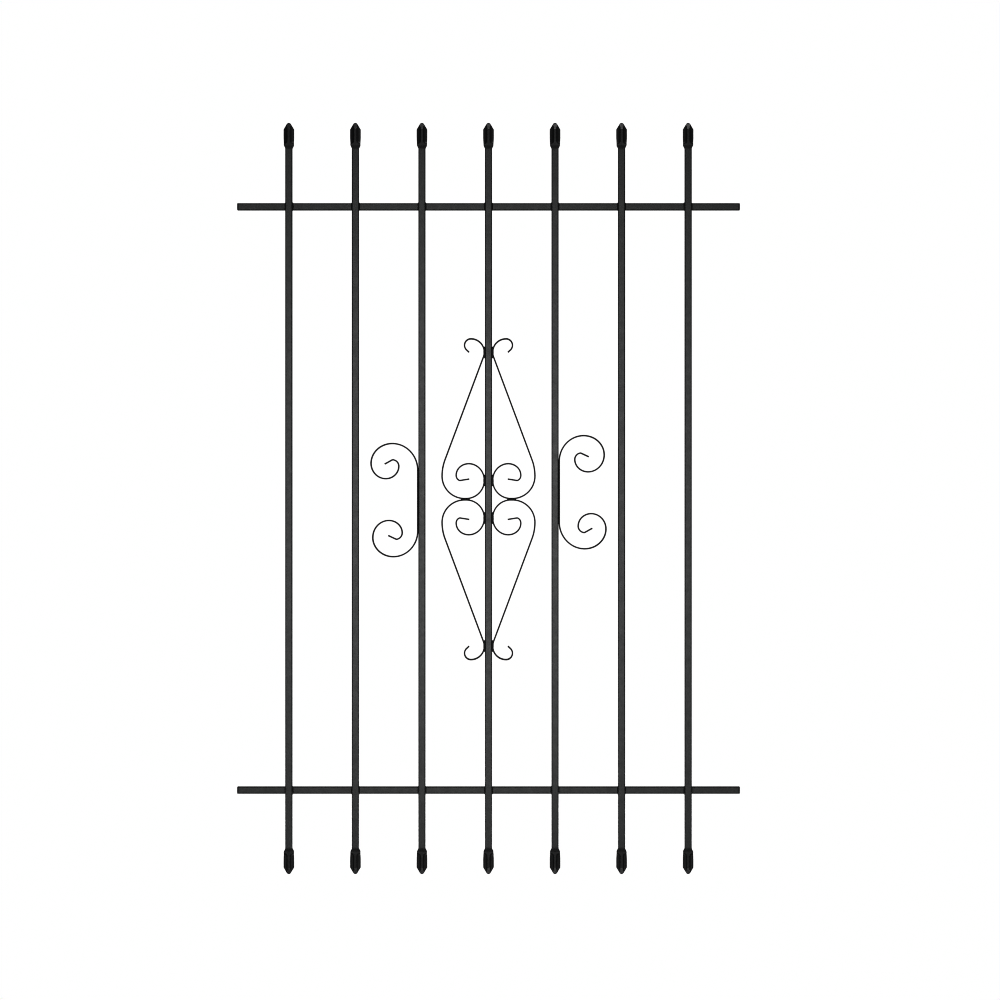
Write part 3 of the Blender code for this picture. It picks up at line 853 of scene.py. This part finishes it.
def add_floor():
    """The room's floor, as far under the guard as a window's sill is above it."""
    shape = bmesh.new()
    bmesh.ops.create_circle(shape, cap_ends=True, segments=FLOOR_SEGMENTS, radius=FLOOR_RADIUS)
    mesh = bpy.data.meshes.new("floor")
    shape.to_mesh(mesh)
    shape.free()
    mesh.materials.append(floor_glow_with_painted_shade())
    floor = bpy.data.objects.new("floor", mesh)
    floor.location = (0, 0, cad_box[0].z - SILL_HEIGHT)
    floor.visible_diffuse = False
    floor.visible_glossy = False
    floor.visible_shadow = False
    bpy.context.scene.collection.objects.link(floor)


def add_panel(name, aim, offset, size, power, lit=None):
    """A soft light that the camera doesn't see, at an offset from what it aims at.

    It falls on everything, or on one collection."""
    data = bpy.data.lights.new(name, "AREA")
    data.shape = "RECTANGLE"
    data.size, data.size_y = size
    data.energy = power
    light = bpy.data.objects.new(name, data)
    light.location = Vector(aim) + Vector(offset)
    light.rotation_euler = (-Vector(offset)).to_track_quat("-Z", "Y").to_euler()
    light.visible_camera = False
    light.light_linking.receiver_collection = lit
    bpy.context.scene.collection.objects.link(light)


def add_panels():
    """A light in front, one at each side in front and behind, and two on the castings alone."""
    castings = bpy.data.collections.new("castings")
    for piece in bpy.data.objects:
        if piece.name.endswith("_casting"):
            castings.objects.link(piece)
    middle = (0, 0, MIDDLE_Z)
    add_panel("key", middle, *KEY_LIGHT)
    add_panel("above", (CASTING_AIM_X, 0, cad_box[1].z), *ABOVE_LIGHT, castings)
    add_panel("below", (CASTING_AIM_X, 0, cad_box[0].z), *BELOW_LIGHT, castings)
    for side in (-1, 1):
        for name, light in (("front", FRONT_LIGHT), ("rear", REAR_LIGHT)):
            (x, y, z), size, power = light
            add_panel(f"{name}_{side + 1}", middle, (side * x, y, z), size, power)


def add_camera():
    """A long lens, level and square to the guard, from nearly in front of its middle."""
    data = bpy.data.cameras.new("camera")
    data.lens = CAMERA_LENS
    camera = bpy.data.objects.new("camera", data)
    camera.location = (CAMERA_RIGHT, PICKET_Y - CAMERA_DISTANCE, MIDDLE_Z - CAMERA_DOWN)
    camera.rotation_euler = (math.pi / 2, 0, 0)
    bpy.context.scene.collection.objects.link(camera)
    bpy.context.scene.camera = camera


add_camera()
bar_coat = coat(
    "bar_coat",
    colour=(0.0200, 0.0218, 0.0213),
    tone=0.06,
    shine=0.50,
    roughness=(0.36, 0.42),
    peel=(900, 0.000004),
    lumps=(150, 0.000006),
)
cast_coat = coat(
    "cast_coat",
    colour=(0.0065, 0.0068, 0.0068),
    tone=0.10,
    shine=0.40,
    roughness=(0.48, 0.56),
    peel=(900, 0.000010),
    lumps=(330, 0.000030),
)
strip_coat = coat(
    "strip_coat",
    colour=(0.0068, 0.0073, 0.0072),
    tone=0.08,
    shine=0.34,
    roughness=(0.48, 0.56),
    peel=(900, 0.000006),
    lumps=(210, 0.000010),
)
weld_coat = coat(
    "weld_coat",
    colour=(0.0070, 0.0074, 0.0074),
    tone=0.12,
    shine=0.40,
    roughness=(0.50, 0.62),
    peel=(900, 0.000012),
    lumps=(420, 0.000040),
)
plug_skin = coat(
    "plug_skin",
    colour=(0.0090, 0.0090, 0.0095),
    tone=0.08,
    shine=0.40,
    roughness=(0.52, 0.64),
    peel=(1400, 0.000006),
    lumps=(240, 0.000012),
)
add_tubes(bar_coat)
add_plugs(plug_skin)
add_finials(cast_coat)
add_scrolls(strip_coat)
add_welds(weld_coat)
white_world()
add_floor()
add_panels()
bpy.context.scene.view_settings.view_transform = "Standard"
bpy.context.scene.view_settings.gamma = VIEW_GAMMA
bpy.context.scene.cycles.filter_width = EDGE_SOFTNESS
